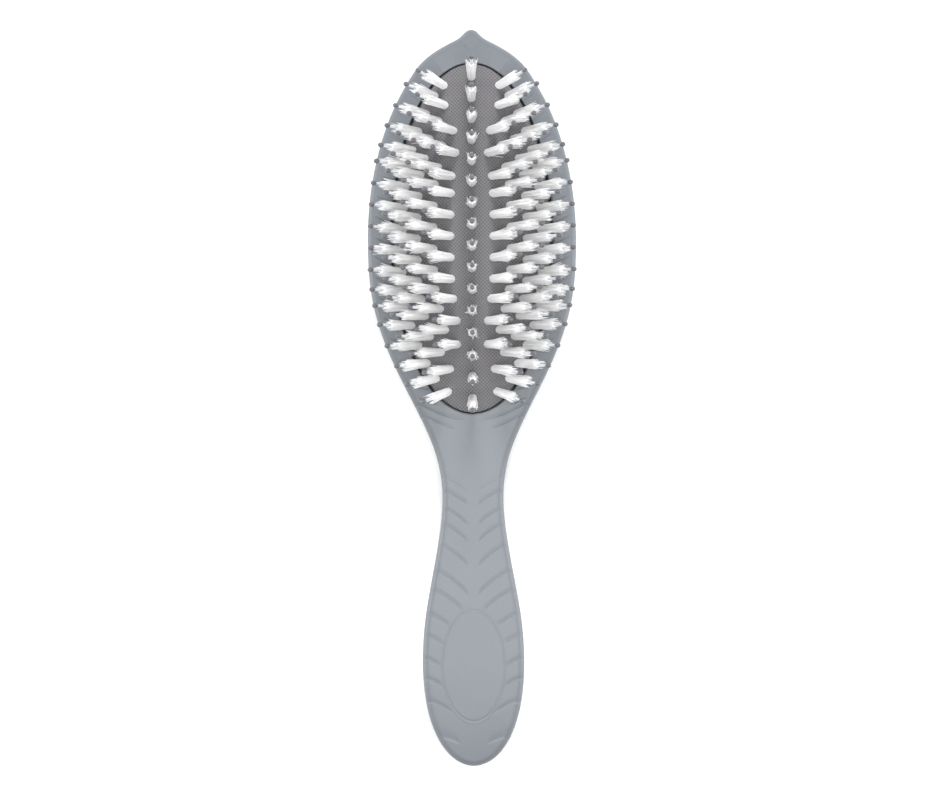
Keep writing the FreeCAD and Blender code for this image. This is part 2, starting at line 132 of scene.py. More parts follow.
# Chevron rows: for each tuft of an arm its share of the cushion's half width and its steps towards the tip.
FIRST_ROW, LAST_ROW, ARM_STEP, ARM_START = 49.8, -49.4, 3.106, 1.2
TIP_ARMS = [
    [],
    [(0.585, 1.3)],
    [(0.44, 1.45), (0.69, 2.4)],
    [(0.23, 1.0), (0.49, 1.95), (0.73, 2.75)],
    [(0.18, 0.9), (0.375, 1.6), (0.58, 2.3), (0.77, 3.1)],
    [(0.22, 0.7), (0.41, 1.6), (0.61, 2.5), (0.795, 3.4)],
]
FULL_ARM = [(0.225, 1.1), (0.44, 2.0), (0.64, 3.0), (0.81, 4.0)]
NECK_ARMS = [
    [(0.205, 1.25), (0.435, 2.2), (0.65, 3.05), (0.83, 4.0)],
    [(0.17, 1.2), (0.395, 2.4), (0.63, 3.4), (0.835, 4.2)],
    [(0.185, 1.0), (0.35, 2.45), (0.61, 3.85), (0.83, 4.75)],
    [(0.35, 0.7), (0.46, 2.35), (0.585, 3.95), (0.815, 5.05)],
    [(0.52, 0.6), (0.67, 1.9), (0.735, 3.4), (0.785, 5.2)],
]
ARMS = TIP_ARMS + [FULL_ARM] * 5 + NECK_ARMS
SIDE_LEAN, END_LEAN, LEAN_START = 0.65, 0.40, 7.0
TUFT_REACH, TUFT_STRAIGHT, ROOT_DEPTH = 16.0, 2.4, 1.8

# Filaments: six clumps round a middle one, which takes the filaments inside a share of the radius.
RING_CLUMPS, MIDDLE_SHARE, RING_FAR, MIDDLE_FAR = 6, 0.42, 0.78, 0.05
CLUMPS = RING_CLUMPS + 1
CLUMP_TURN, CLUMP_FAR, CLUMP_PULL, TIP_SCATTER = 0.2, (0.8, 1.15), (0.25, 0.75), 0.08
STRAY_ABOVE, STRAY_SPREAD = 0.95, 1.35
# How much lower than the tuft's solid they end, how much more at the rim, and how unevenly.
END_LOWER, RIM_LOWER, CLUMP_UNEVEN, FILAMENT_UNEVEN = 1.7, 1.6, 0.75, 0.45
REACH_LEAST, REACH_MOST = 10.8, TUFT_REACH + 0.4
SPREAD_START, SPREAD_END, SPREAD_GAIN = TUFT_STRAIGHT - 2.0, 1.35 * TUFT_REACH, 1.45
# Rings of a filament as shares of its length, with its thickness there.
FILAMENT_RINGS = [0.0, 0.24, 0.5, 0.76, 1.0]
FILAMENT_TAPER = [1.0, 1.0, 0.95, 0.8, 0.3]
# The core that closes a bundle: heights, and shares of the root's half width there.
CORE_HEIGHTS = [-ROOT_DEPTH, 1.5, 6.5, 10.6, 13.2]
CORE_HALVES = [0.96, 0.98, 1.05, 1.0, 0.55]
CORE_TONE, FIRST_SEED = 0.9, 100
FILAMENT_SIDES, CORE_SIDES, BEAD_SIDES = 3, 10, 9

# Pins and beads: shares of a bead's length back from its end, and shares of its half width there.
PIN_REACH, BEAD_LONG, BEAD_HALF = 20.0, 2.2, 0.8
BEAD_RINGS = [1.0, 0.82, 0.6, 0.4, 0.2, 0.07, 0.0]
BEAD_HALVES = [0.62, 0.80, 0.97, 1.0, 0.86, 0.52, 0.06]

# Meshes: angles up to which they are smooth, in degrees, and the distances of welding, in metres.
SMOOTH_ANGLE, TUBE_ANGLE = 35, 60
WELD_DOUBLES, WELD_EDGES = 2e-6, 1e-6

# Stage, in metres but for the floor in millimetres. The key light is kept out of reflections.
LIGHT_AIM, SKY = (0.0, -0.05, 0.01), 0.58
KEY_PLACE, KEY_SIZE = (0.1, 1.65, 1.25), 0.6
FRONT_PLACE, FRONT_AIM, FRONT_SIZE = (0.0, -0.115, 0.56), (0.0, -0.115, 0.01), 0.35
SIDE_DISTANCE, SIDE_ALONG, SIDE_HEIGHT, SIDE_SIZE = 1.5, -0.05, 0.42, 0.6
CAMERA_ACROSS, CAMERA_ALONG, HEAD_FRONT, CAMERA_TURN = -0.0008, -0.0485, 0.014, -0.22
SENSOR_WIDTH, CLIP_END = 36.0, 20.0
FLOOR_HALF, FLOOR_LEVEL = 9000, -0.05


def linear(code):
    """The linear colour of an sRGB hex code, by the sRGB transfer curve."""
    channels = [int(code[start:start + 2], 16) / 255 for start in (1, 3, 5)]
    return tuple(c / 12.92 if c <= 0.04045 else ((c + 0.055) / 1.055) ** 2.4 for c in channels)


class BodyLook(bpy.types.PropertyGroup):
    """Finish of the moulded body."""
    colour: bpy.props.FloatVectorProperty(
        name="Plastic", description="Colour of the moulded body", subtype="COLOR", size=3, min=0, max=1,
        default=linear("#63686D"))
    vein_depth: bpy.props.FloatProperty(
        name="Vein depth", description="Depth of the engraved veins on the front", unit="LENGTH",
        default=0.18 * MM, min=0.0, precision=5)
    vein_width: bpy.props.FloatProperty(
        name="Vein width", description="Width of an engraved vein", unit="LENGTH", default=0.42 * MM,
        min=0.1 * MM, precision=5)


class CushionLook(bpy.types.PropertyGroup):
    """Finish of the rubber cushion."""
    colour: bpy.props.FloatVectorProperty(
        name="Rubber", description="Colour of the cushion", subtype="COLOR", size=3, min=0, max=1,
        default=linear("#656467"))
    # The dots' colour is painted shade: a darker colour laid into the sunk dots.
    dot_shade_colour: bpy.props.FloatVectorProperty(
        name="Dots", description="Colour in the pressed dots", subtype="COLOR", size=3, min=0, max=1,
        default=linear("#4A494B"))
    dot_pitch: bpy.props.FloatProperty(
        name="Dot pitch", description="Distance from dot to dot along a diagonal", unit="LENGTH",
        default=0.8 * MM, min=0.2 * MM, precision=5)


class BristleLook(bpy.types.PropertyGroup):
    """Size and finish of the bristles, pins and beads."""
    colour: bpy.props.FloatVectorProperty(
        name="Nylon", description="Colour of the bristles", subtype="COLOR", size=3, min=0, max=1,
        default=linear("#EFEFEF"))
    bead_colour: bpy.props.FloatVectorProperty(
        name="Bead", description="Colour of the beads on the pins", subtype="COLOR", size=3, min=0, max=1,
        default=linear("#56565B"))
    filaments: bpy.props.IntProperty(
        name="Filaments", description="Filaments in one tuft", default=84, min=8, max=200)
    filament_width: bpy.props.FloatProperty(
        name="Filament width", description="Diameter of one filament", unit="LENGTH", default=0.26 * MM,
        min=0.05 * MM, precision=5)
    root_width: bpy.props.FloatProperty(
        name="Root width", description="Diameter of a tuft at the rubber", unit="LENGTH", default=2.5 * MM,
        min=0.5 * MM, precision=5)
    tip_width: bpy.props.FloatProperty(
        name="Tip width", description="Diameter of a tuft at its tips", unit="LENGTH", default=3.9 * MM,
        min=0.5 * MM, precision=5)


class StageLook(bpy.types.PropertyGroup):
    """Camera, light and floor."""
    floor_colour: bpy.props.FloatVectorProperty(
        name="Floor", description="Colour of the floor", subtype="COLOR", size=3, min=0, max=1,
        default=linear("#FAFAFA"))
    camera_height: bpy.props.FloatProperty(
        name="Camera height", description="Camera above the front of the head", unit="LENGTH", default=0.80,
        min=0.1)
    field_width: bpy.props.FloatProperty(
        name="Field width", description="Width of the view at the front of the head", unit="LENGTH",
        default=0.2925, min=0.05)
    key_power: bpy.props.FloatProperty(
        name="Key light", description="Power of the soft light on the tip's side, in watts", default=43.0,
        min=0.0)
    front_power: bpy.props.FloatProperty(
        name="Front light", description="Power of the soft light over the brush, in watts", default=2.55,
        min=0.0)
    side_power: bpy.props.FloatProperty(
        name="Side lights", description="Power of each soft light beside the brush, in watts", default=13.0,
        min=0.0)


def spline(points, samples, ends=None):
    """Points on a smooth plane curve through the given ones.

    Each span is a cubic on chord-length parameters, whose slopes at the points make the second derivative run
    on from span to span. The slopes at the two ends are given, or those of the cubic through four end points.
    """
    points = np.asarray(points, float)
    knots = np.concatenate([[0.0], np.cumsum(np.linalg.norm(np.diff(points, axis=0), axis=1))])
    span = np.diff(knots)[:, None]
    if ends is None:
        ends = (np.polyfit(knots[:4], points[:4], 3)[2],
                np.polyfit(knots[-4:] - knots[-1], points[-4:], 3)[2])
    count = len(points)
    inner = np.arange(1, count - 1)
    matrix = np.eye(count)
    matrix[inner, inner - 1] = span[1:, 0]
    matrix[inner, inner] = 2 * (span[:-1, 0] + span[1:, 0])
    matrix[inner, inner + 1] = span[:-1, 0]
    steps = np.diff(points, axis=0) / span
    known = np.vstack([ends[0], 3 * (span[1:] * steps[:-1] + span[:-1] * steps[1:]), ends[1]])
    slopes = np.linalg.solve(matrix, known)
    places = np.linspace(0, knots[-1], samples)
    part = np.clip(np.searchsorted(knots, places, side="right") - 1, 0, count - 2)
    width = span[part]
    t = (places - knots[part])[:, None] / width
    return ((1 + 2 * t) * (1 - t) ** 2 * points[part] + t * (1 - t) ** 2 * width * slopes[part]
            + t * t * (3 - 2 * t) * points[part + 1] + t * t * (t - 1) * width * slopes[part + 1])


def ease(low, high, value):
    """Smooth step from 0 at low to 1 at high: 3t squared less 2t cubed."""
    t = np.clip((value - low) / (high - low), 0, 1)
    return t * t * (3 - 2 * t)


def by_place(knots, place):
    """Value at a place along the brush, straight from knot to knot."""
    knots = np.array(sorted(knots))
    return np.interp(place, knots[:, 0], knots[:, 1])


FRONT_LINE = spline(FRONT_PROFILE, PROFILE_SAMPLES)
BACK_LINE = spline(BACK_PROFILE, PROFILE_SAMPLES)


def front_height(y):
    """Height of the front at a place along the brush, on the side profile's spline."""
    return np.interp(y, FRONT_LINE[::-1, 0], FRONT_LINE[::-1, 1])


def back_height(y):
    """Height of the back at a place along the brush, never under the floor."""
    return np.maximum(np.interp(y, BACK_LINE[::-1, 0], BACK_LINE[::-1, 1]), 0.0)


def leaf_outline(samples):
    """Right half of the leaf from tip to butt.

    A small arc with straight flanks at the tip, a swelling power of an ellipse down to the widest place, a
    squared cosine to the neck, a squared sine to the grip and a full superellipse round the butt, joined by
    splines. The arrays hold the places on each stretch, as shares of it, that the splines go through.
    """
    turn = np.radians([0, 25, 45, 45])
    flank = np.array([0, 0, 0, 0.56])
    up = np.array([0.84, 0.75, 0.62, 0.46, 0.28, 0.12, 0.0])
    down = np.array([0, 0.15, 0.30, 0.45, 0.60, 0.72, 0.85])
    along = np.array([0, 0.25, 0.50, 0.75])
    end = np.array([0, 0.25, 0.50, 0.70, 0.84, 0.94, 1.0])
    shoulder = np.array([(0.193, 0.938), (0.347, 0.894)])
    upper = np.vstack([
        np.stack([TIP_ROUND * (np.sin(turn) + flank), TIP - TIP_ROUND * (1 - np.cos(turn) + flank)], axis=1),
        shoulder * (HEAD_HALF, TIP),
        np.stack([HEAD_HALF * (1 - up ** 2) ** 0.6, up * TIP], axis=1)])
    swell = np.cos(np.pi / 2 * down ** 1.3) ** 2
    rise = np.sin(np.pi / 2 * along) ** 2
    lower = np.vstack([
        np.stack([NECK_HALF + (HEAD_HALF - NECK_HALF) * swell, -down * NECK_PLACE], axis=1),
        np.stack([NECK_HALF + (GRIP_HALF - NECK_HALF) * rise,
                  -NECK_PLACE - along * (GRIP_PLACE - NECK_PLACE)], axis=1),
        np.stack([GRIP_HALF * np.sqrt(1 - end ** 2.3), -GRIP_PLACE - end * (BUTT - GRIP_PLACE)], axis=1)])
    head = spline(upper, samples, ((1, 0), (0, -1)))
    handle = spline(lower, samples, ((0, -1), (-1, 0)))
    return np.vstack([head, handle[1:]])


def grid_quads(rows, columns):
    """Corner numbers of the quads of a grid of points."""
    first = (np.arange(rows - 1)[:, None] * columns + np.arange(columns - 1)).ravel()
    return np.stack([first, first + 1, first + columns + 1, first + columns], axis=1)


def join_grids(grids):
    """All points and quads of several grids, each an array of rows, columns and three coordinates."""
    starts = np.cumsum([0] + [g.shape[0] * g.shape[1] for g in grids])
    points = np.vstack([g.reshape(-1, 3) for g in grids])
    quads = np.vstack([grid_quads(*g.shape[:2]) + start for g, start in zip(grids, starts)])
    return points, quads


def mirrored(grids):
    """The grids and their mirror images across the middle line."""
    return grids + [g * np.array([-1.0, 1.0, 1.0]) for g in grids]


def make_piece(name, points, faces, material, sharp=SMOOTH_ANGLE, weld=True):
    """A mesh object from points in millimetres, smooth up to an angle.

    Welding merges doubles, takes out faces without area and turns the rest outwards.
    """
    mesh = bpy.data.meshes.new(name)
    mesh.from_pydata(points * MM, [], faces)
    if weld:
        work = bmesh.new()
        work.from_mesh(mesh)
        bmesh.ops.remove_doubles(work, verts=work.verts, dist=WELD_DOUBLES)
        bmesh.ops.dissolve_degenerate(work, edges=work.edges, dist=WELD_EDGES)
        bmesh.ops.recalc_face_normals(work, faces=work.faces)
        work.to_mesh(mesh)
        work.free()
    mesh.polygons.foreach_set("use_smooth", np.ones(len(mesh.polygons), bool))
    mesh.set_sharp_from_angle(angle=math.radians(sharp))
    mesh.materials.append(material)
    piece = bpy.data.objects.new(name, mesh)
    bpy.context.scene.collection.objects.link(piece)
    return piece


def settle(piece, body, slot, *nodes):
    """Let a piece ride on a body and stand for construction nodes. The slot is not used."""
    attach(piece, body)
    if nodes:
        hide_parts(*nodes)


def feed(tree, node, inputs):
    """Set a node's inputs. Each one is a value, or the socket that feeds it."""
    for key, value in inputs.items():
        if isinstance(value, bpy.types.NodeSocket):
            tree.links.new(value, node.inputs[key])
        else:
            node.inputs[key].default_value = value


def add_node(tree, kind, inputs=(), **settings):
    """Add a shader node with its settings and inputs."""
    node = tree.nodes.new(kind)
    for key, value in settings.items():
        setattr(node, key, value)
    feed(tree, node, dict(inputs))
    return node


def patches(tree, place, size, detail):
    """Socket of a noise whose patches have a size in millimetres."""
    scale = 1 / (size * MM)
    noise = add_node(tree, "ShaderNodeTexNoise", {"Vector": place, "Scale": scale, "Detail": detail})
    return noise.outputs["Fac"]


def blend(tree, factor, low, high):
    """Socket of the colour that a factor picks between two others."""
    mix = add_node(tree, "ShaderNodeMix", {"Factor": factor, "A": low, "B": high}, data_type="RGBA")
    return mix.outputs["Result"]


def opaque(colour, tone=1.0):
    """A colour times a tone, with full alpha."""
    return tuple(min(1.0, channel * tone) for channel in colour) + (1.0,)


def start_material(name):
    """A new node material, with its tree, its main shader and the piece's own coordinates."""
    material = bpy.data.materials.new(name)
    material.use_nodes = True
    tree = material.node_tree
    place = add_node(tree, "ShaderNodeTexCoord").outputs["Object"]
    return material, tree, tree.nodes["Principled BSDF"], place


def moulded_polypropylene(look):
    """Polypropylene from a lightly blasted mould: satin grey with faint flow marks and a fine grain."""
    material, tree, shader, place = start_material("moulded_polypropylene")
    flow = patches(tree, place, 22, 3.0)
    grain = patches(tree, place, 0.5, 2.0)
    gloss = add_node(tree, "ShaderNodeMapRange", {"Value": grain, "To Min": 0.42, "To Max": 0.54})
    relief = add_node(tree, "ShaderNodeBump", {"Height": grain, "Strength": 0.10, "Distance": 0.05 * MM})
    feed(tree, shader, {
        "Base Color": blend(tree, flow, opaque(look.colour, 0.93), opaque(look.colour, 1.07)),
        "Roughness": gloss.outputs["Result"], "Normal": relief.outputs["Normal"], "IOR": 1.49,
        "Specular IOR Level": 0.5})
    return material


def dotted_rubber(look):
    """Soft rubber with a diagonal grid of pressed dots: matt grey, each dot sunk, with painted shade that
    makes it a little darker.
    """
    material, tree, shader, place = start_material("dotted_rubber")
    turned = add_node(tree, "ShaderNodeMapping", {"Vector": place, "Rotation": (0.0, 0.0, math.radians(45))})
    dots = add_node(tree, "ShaderNodeTexVoronoi", {
        "Vector": turned.outputs["Vector"], "Scale": 1 / look.dot_pitch, "Randomness": 0.0},
        voronoi_dimensions="2D")
    pressed = add_node(tree, "ShaderNodeMapRange", {
        "Value": dots.outputs["Distance"], "From Min": 0.22, "From Max": 0.42}).outputs["Result"]
    relief = add_node(tree, "ShaderNodeBump", {"Height": pressed, "Strength": 0.6, "Distance": 0.12 * MM})
    bloom = patches(tree, place, 9, 3.0)
    rubber = blend(tree, bloom, opaque(look.colour, 0.92), opaque(look.colour, 1.08))
    feed(tree, shader, {
        # Painted shade: the sunk dots take the darker dot colour.
        "Base Color": blend(tree, pressed, opaque(look.dot_shade_colour), rubber),
        "Normal": relief.outputs["Normal"], "Roughness": 0.62, "IOR": 1.52})
    return material


def nylon_filament(look):
    """Drawn nylon filaments: bright white, light passes into them, and each one differs a little in tone."""
    material, tree, shader, _ = start_material("nylon_filament")
    tone = add_node(tree, "ShaderNodeAttribute", attribute_name="tone").outputs["Fac"]
    feed(tree, shader, {
        "Base Color": blend(tree, tone, opaque(look.colour, 0.94), opaque(look.colour)),
        "Roughness": 0.38, "IOR": 1.53, "Subsurface Weight": 0.15, "Subsurface Scale": 1.0,
        "Subsurface Radius": (0.5 * MM, 0.5 * MM, 0.5 * MM)})
    return material


def clear_nylon():
    """Moulded nylon without pigment: milky and half clear, with a soft gloss and faint cloudiness."""
    material, tree, shader, place = start_material("clear_nylon")
    cloud = patches(tree, place, 2.5, 2.0)
    feed(tree, shader, {
        "Base Color": blend(tree, cloud, opaque(linear("#DADCE0")), opaque(linear("#F4F5F7"))),
        "Roughness": 0.25, "IOR": 1.53, "Transmission Weight": 0.45})
    return material


def dipped_coating(look):
    """A drop of cured coating on the pin's end: smooth, slightly glossy grey with fine specks."""
    material, tree, shader, place = start_material("dipped_coating")
    speck = patches(tree, place, 0.9, 2.0)
    feed(tree, shader, {
        "Base Color": blend(tree, speck, opaque(look.bead_colour, 0.85), opaque(look.bead_colour, 1.12)),
        "Roughness": 0.3, "IOR": 1.5})
    return material


def painted_floor(look):
    """A matt painted board: even and pale, with a trace of roller texture."""
    material, tree, shader, place = start_material("painted_floor")
    roller = patches(tree, place, 4, 3.0)
    feed(tree, shader, {
        "Base Color": blend(tree, roller, opaque(look.floor_colour, 0.985), opaque(look.floor_colour)),
        "Roughness": 0.9})
    return material


def body_lines(vein_width):
    """Lines across the right half of the body, from the outline in.

    Returns the outline's points, its inward normals and each line's inner end along the brush. A line's inner
    end lies lower than its outer end by the vein's fall. Lines stand close at veins and at the mouth's ends.
    """
    line = leaf_outline(OUTLINE_SAMPLES)
    reach = np.concatenate([[0.0], np.cumsum(np.linalg.norm(np.diff(line, axis=0), axis=1))])
    slope = np.gradient(line, reach, axis=0)
    slope /= np.linalg.norm(slope, axis=1)[:, None]
    slope[0], slope[-1] = (1.0, 0.0), (-1.0, 0.0)
    inward = np.stack([slope[:, 1], -slope[:, 0]], axis=1)
    outer = np.minimum.accumulate((line + FRONT_ROUND * inward)[:, 1])
    table = np.linspace(-BUTT + FRONT_ROUND, TIP - FRONT_ROUND, FALL_SAMPLES)
    inner = np.interp(outer, table + by_place(FALL, table), table)

    long = MOUTH_LONG + LIP_ROUND
    mouth = long * np.cos(np.linspace(0, np.pi, MOUTH_LINES))
    places = np.interp(np.concatenate([mouth, [vein[0] for vein in VEINS]]), inner[::-1], reach[::-1])
    near = np.array(VEIN_LINES) * vein_width
    whole = reach[-1]
    chosen = np.concatenate([
        np.arange(0, whole, LINE_STEP), np.linspace(0, TIP_STRETCH, TIP_LINES),
        np.linspace(whole - BUTT_STRETCH, whole, BUTT_LINES), places[:len(mouth)],
        (places[len(mouth):, None] + near).ravel()])
    chosen = np.unique(np.clip(chosen, 0, whole))
    chosen = chosen[np.concatenate([[True], np.diff(chosen) > LINE_LEAST])]
    ends = np.interp([long, -long], inner[::-1], reach[::-1])
    chosen[[np.abs(chosen - end).argmin() for end in ends]] = ends
    chosen[-1] = whole
    x, y, across, along, inner_end = (np.interp(chosen, reach, row) for row in (*line.T, *inward.T, inner))
    outline = np.stack([x, y], axis=1)
    normal = np.stack([across, along], axis=1)
    normal /= np.linalg.norm(normal, axis=1)[:, None]
    for end in (long, -long):
        inner_end[np.abs(inner_end - end).argmin()] = end
    return outline, normal, inner_end


def vein_groove(inner_end, look):
    """Depth of the nearest engraved vein on each line, and how far in it reaches.

    Across, a vein is a bell curve. On the handle it falls slowly from the tip's side and rises steeply on the
    butt's side.
    """
    veins = np.array(VEINS)
    nearest = np.abs(inner_end[:, None] - veins[:, 0]).argmin(axis=1)
    place, reach, depth = veins[nearest].T
    slope = np.where((inner_end > place) & (place < -MOUTH_LONG), SLOW_SIDE, STEEP_SIDE)
    bell = np.exp(-((inner_end - place) / (slope * look.vein_width / MM)) ** 2)
    return (look.vein_depth / MM * depth * bell)[:, None], reach[:, None]


def body_front(outline, normal, inner_end, look):
    """The front from its rounded edge in to the middle line or to the mouth's lip.

    A line runs from the outline to its inner end; its fall bends by v + c(v - v squared), c being the sweep.
    Heights come from the side profile, less the veins.
    """
    share = np.linspace(0, 1, FRONT_POINTS)
    edge = outline + FRONT_ROUND * normal
    mouth = np.sqrt(np.clip(1 - (inner_end / (MOUTH_LONG + LIP_ROUND)) ** 2, 0, None))
    inner_x = (MOUTH_WIDE + LIP_ROUND) * mouth
    bend = share + by_place(SWEEP, inner_end)[:, None] * (share - share ** 2)
    x = edge[:, :1] + (inner_x[:, None] - edge[:, :1]) * share
    y = edge[:, 1:] + (inner_end[:, None] - edge[:, 1:]) * bend
    groove, reach = vein_groove(inner_end, look)
    groove = groove * np.where(reach < 1, 1 - ease(reach - VEIN_END, reach, share), 1.0)
    handle = inner_end[:, None] < -MOUTH_LONG
    groove = np.where(handle, groove, groove * ease(0.0, VEIN_START, share))
    groove = np.where(handle, groove * ease(MIDRIB_HALF - MIDRIB_FADE, MIDRIB_HALF + MIDRIB_FADE, x), groove)
    oval = np.hypot(x / PLAQUE_WIDE, (y - PLAQUE_PLACE) / PLAQUE_LONG)
    groove = groove * ease(*PLAQUE_FADE, oval)
    return np.stack([x, y, front_height(y) - groove], axis=2)


def body_edge(outline, normal, inner_end, look):
    """The rounded front edge, the side and the rounded back edge: quarter circles along the outline's normal.

    The veins run on over the front edge and fade out on its way down.
    """
    turn = np.radians(np.linspace(0, 90, ROUND_POINTS))
    handle = inner_end[:, None] < -MOUTH_LONG
    groove = vein_groove(inner_end, look)[0] * (1 - ease(*EDGE_FADE, turn)) * handle
    still = np.zeros((len(outline), 1))
    front_inset = FRONT_ROUND * (1 - np.sin(turn)) + groove * np.sin(turn)
    back_inset = BACK_ROUND * (1 - np.cos(turn)) + still
    inset = np.concatenate([front_inset, still, back_inset], axis=1)
    points = outline[:, None, :] + inset[:, :, None] * normal[:, None, :]
    front = front_height(points[:, :ROUND_POINTS, 1]) - FRONT_ROUND * (1 - np.cos(turn))
    front = front - groove * np.cos(turn)
    back = back_height(points[:, ROUND_POINTS + 1:, 1]) + BACK_ROUND * (1 - np.sin(turn))
    middle = (front[:, -1:] + back[:, :1]) / 2
    return np.concatenate([points, np.concatenate([front, middle, back], axis=1)[:, :, None]], axis=2)


def body_back(outline, normal):
    """The plain back, from its rounded edge straight in to the middle line."""
    share = np.linspace(0, 1, BACK_POINTS)
    edge = outline + BACK_ROUND * normal
    x = edge[:, :1] * (1 - share)
    y = np.repeat(edge[:, 1:], len(share), axis=1)
    return np.stack([x, y, back_height(y)], axis=2)


def body_hollow(inner_end, lip_height):
    """The mouth: a rounded lip, the groove for the cushion's rim, a ledge and the hollow's floor.

    Every row is an ellipse whose half axes are the mouth's plus the row's step, at the lines' own angles. The
    lip starts at the height that the front has there, and the last row lies on the middle line.
    """
    long = MOUTH_LONG + LIP_ROUND
    inside = np.abs(inner_end) <= long
    angle = np.arccos(np.clip(inner_end[inside] / long, -1, 1))[:, None]
    turn = np.radians(np.linspace(0, 90, LIP_POINTS))
    lip = lip_height[inside, None] - LIP_ROUND * (1 - np.cos(turn))
    step, height = np.array(HOLLOW + HOLLOW[-1:]).T
    out = np.concatenate([LIP_ROUND * (1 - np.sin(turn)), step])
    wide = MOUTH_WIDE + out
    wide[-1] = 0.0
    x = wide * np.sin(angle)
    y = (MOUTH_LONG + out) * np.cos(angle)
    z = np.concatenate([lip, np.broadcast_to(height, (len(lip), len(height)))], axis=1)
    return np.stack([x, y, z], axis=2)


def plaque():
    """The bare oval on the handle: a closed disc along the front, with a fine line and a rounded rim."""
    share = np.array(PLAQUE_RINGS)
    turn = np.linspace(0, 2 * np.pi, PLAQUE_COLUMNS)[:, None]
    line = np.exp(-((share - PLAQUE_LINE) / PLAQUE_LINE_WIDTH) ** 2)
    lift = PLAQUE_LIFT - PLAQUE_LINE_DEPTH * line - PLAQUE_RIM_DROP * ease(*PLAQUE_RIM, share)
    share = np.append(share, [share[-1], 0.0])
    lift = np.append(lift, [-PLAQUE_THICK, -PLAQUE_THICK])
    x = PLAQUE_WIDE * share * np.sin(turn)
    y = PLAQUE_PLACE + PLAQUE_LONG * share * np.cos(turn)
    return np.stack([x, y, front_height(y) + lift], axis=2)


class BRUSH_OT_body(bpy.types.Operator):
    """Make the moulded body with its engraved veins"""
    bl_idname = "brush.body"
    bl_label = "Leaf Body"

    def execute(self, context):
        look = context.scene.brush_body
        outline, normal, inner_end = body_lines(look.vein_width / MM)
        front = body_front(outline, normal, inner_end, look)
        halves = [front, body_edge(outline, normal, inner_end, look), body_back(outline, normal),
                  body_hollow(inner_end, front[:, -1, 2])]
        points, quads = join_grids(mirrored(halves))
        material = moulded_polypropylene(look)
        body = make_piece("leaf_body_skin", points, quads, material)
        settle(body, "brush_body", "body_plastic", "leaf_body")
        points, quads = join_grids([plaque()])
        settle(make_piece("handle_oval", points, quads, material), "brush_body", "body_plastic")
        return {"FINISHED"}


def cushion_outside():
    """The dome, its crease and the flange under the lip, from the crown out.

    The dome is an ellipsoid: at share r of its edge its height is the root of one less (r times the edge's
    share) squared. A high power of r lifts its edge close to the lip.
    """
    share = np.sin(np.linspace(0, np.pi / 2, DOME_RINGS))
    turn = np.linspace(0, 2 * np.pi, CUSHION_COLUMNS)[:, None]
    edge = share ** EDGE_POWER
    level = np.sqrt(1 - (DOME_SHARE * share) ** 2)
    x = DOME_EDGE_WIDE * share * np.sin(turn)
    y = (DOME_EDGE_LONG * share + EDGE_GROWTH * edge) * np.cos(turn)
    z = np.broadcast_to(DOME_CENTRE + DOME_HEIGHT * level + EDGE_LIFT * edge, x.shape)
    dome = np.stack([x, y, z], axis=2)
    step, height = np.array(RIM).T
    x = (DOME_EDGE_WIDE + step) * np.sin(turn)
    y = (DOME_EDGE_LONG + EDGE_GROWTH + step) * np.cos(turn)
    flange = np.stack([x, y, np.broadcast_to(height, x.shape)], axis=2)
    return np.concatenate([dome, flange], axis=1)


def cushion_inside(last_row):
    """The underside of the rubber: the dome's ellipsoid less the wall, from the flange in to the crown."""
    share = np.cos(np.linspace(0, np.pi / 2, INSIDE_RINGS))
    long, wide, high = DOME_LONG - RUBBER, DOME_WIDE - RUBBER, DOME_HEIGHT - RUBBER
    turn = np.linspace(0, 2 * np.pi, CUSHION_COLUMNS)[:, None]
    edge = math.sqrt(1 - ((RIM_FLOOR - DOME_CENTRE) / high) ** 2)
    x = wide * edge * share * np.sin(turn)
    y = long * edge * share * np.cos(turn)
    z = DOME_CENTRE + high * np.sqrt(1 - (x / wide) ** 2 - (y / long) ** 2)
    return np.concatenate([last_row, np.stack([x, y, z], axis=2)], axis=1)


class BRUSH_OT_cushion(bpy.types.Operator):
    """Make the rubber cushion with its dotted skin"""
    bl_idname = "brush.cushion"
    bl_label = "Cushion"

    def execute(self, context):
        outside = cushion_outside()
        points, quads = join_grids([outside, cushion_inside(outside[:, -1:])])
        cushion = make_piece("cushion_skin", points, quads, dotted_rubber(context.scene.brush_cushion))
        settle(cushion, "brush_body", "pad_rubber", "cushion_pad")
        return {"FINISHED"}


def tuft_stands():
    """Foot on the rubber and way of every tuft, row by row, from the arms' shares, the dome and the lean."""
    stands = []
    for row, arm in enumerate(ARMS):
        middle = FIRST_ROW + (LAST_ROW - FIRST_ROW) * row / (len(ARMS) - 1)
        share, steps = np.array(arm).reshape(-1, 2).T
        y = middle + steps * ARM_STEP
        x = ARM_START + share * DOME_EDGE_WIDE * np.sqrt(1 - (y / DOME_EDGE_LONG) ** 2)
        x = np.concatenate([[0.0], -x, x])
        y = np.concatenate([[middle], y, y])
        z = DOME_CENTRE + DOME_HEIGHT * np.sqrt(1 - (x / DOME_WIDE) ** 2 - (y / DOME_LONG) ** 2)
        way = np.stack([SIDE_LEAN * x / np.hypot(x, LEAN_START), END_LEAN * (y / DOME_LONG) ** 5,
                        np.ones_like(x)], axis=1)
        way /= np.linalg.norm(way, axis=1)[:, None]
        stands.append((np.stack([x, y, z], axis=1), way))
    return stands


def axes_of(way):
    """Two axes square to each way, and the way itself, as the columns of one matrix per tuft."""
    side = np.cross(np.array([0.0, 1.0, 0.0]), way)
    side /= np.linalg.norm(side, axis=1)[:, None]
    return np.stack([side, np.cross(way, side), way], axis=2)


